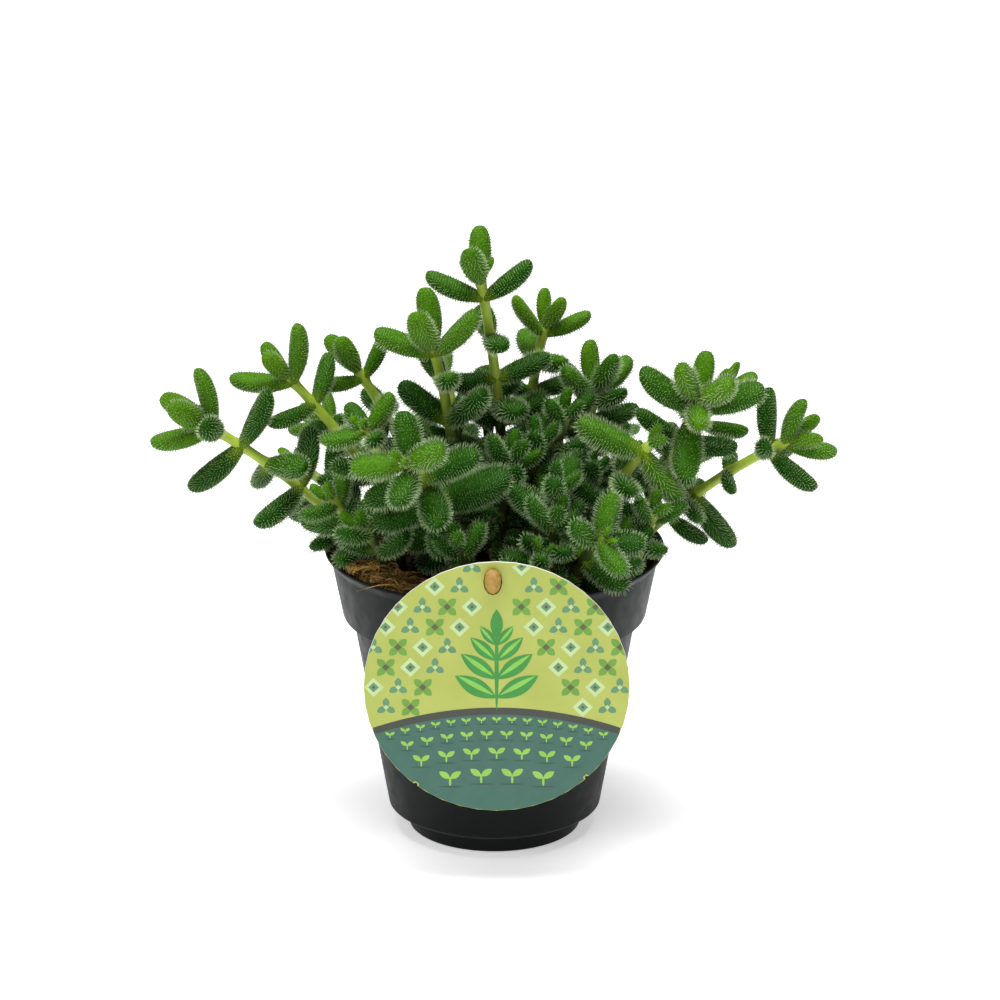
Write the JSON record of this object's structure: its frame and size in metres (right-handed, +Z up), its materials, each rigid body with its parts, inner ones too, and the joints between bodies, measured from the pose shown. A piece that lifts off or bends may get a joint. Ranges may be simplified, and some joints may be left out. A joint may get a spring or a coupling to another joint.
{
  "type": "potted ice plant",
  "caption": "Bushy ice plant with bristly, finger-shaped leaves in a tapered, collared plastic nursery pot of soil, with a round card tag held by a wooden peg.",
  "frame": {"origin": "middle of the pot's flat underside, on the surface that it stands on", "axes": "+Z up along the pot's axis, -Y towards the side with the round tag, +X to the right as the tag is faced"},
  "size_m": [0.2099, 0.1401, 0.1922],
  "materials": {
    "pot": "satin dark grey plastic",
    "soil": "dark, loose peat and coir mix",
    "tag": "printed, lightly coated card",
    "peg": "bare, smooth wood",
    "leaf": "succulent green leaf with whitish bristles"
  },
  "bodies": {
    "root": {"pot": "pot", "soil": "soil", "tag": "tag", "peg": "peg", "shoot_crown": "leaf", "shoot_left_crown": "leaf", "shoot_left_high": "leaf", "shoot_left_far": "leaf", "shoot_left_back": "leaf", "shoot_back_crown": "leaf", "shoot_right_back": "leaf", "shoot_right_high": "leaf", "shoot_right_far": "leaf", "shoot_right_mid": "leaf", "shoot_front_right": "leaf", "shoot_front_left": "leaf", "shoot_left_mid": "leaf", "shoot_left_low": "leaf", "shoot_centre": "leaf", "shoot_centre_right": "leaf", "shoot_centre_back": "leaf", "shoot_front_low": "leaf", "shoot_front_mid": "leaf", "shoot_right_low": "leaf", "shoot_back_left": "leaf", "shoot_back_mid": "leaf", "shoot_back_right": "leaf", "shoot_back_far": "leaf", "shoot_back_low": "leaf", "shoot_left_side": "leaf", "shoot_middle_left": "leaf", "shoot_middle_back": "leaf", "shoot_middle_right": "leaf", "shoot_left_front": "leaf", "shoot_low_1": "leaf", "shoot_low_2": "leaf", "shoot_low_3": "leaf", "shoot_low_4": "leaf", "shoot_low_5": "leaf", "shoot_low_6": "leaf", "shoot_low_7": "leaf", "shoot_low_8": "leaf", "shoot_low_9": "leaf", "shoot_low_10": "leaf", "shoot_low_11": "leaf", "shoot_low_12": "leaf", "shoot_low_13": "leaf", "shoot_low_14": "leaf", "shoot_low_15": "leaf", "shoot_low_16": "leaf"}
  },
  "joints": []
}
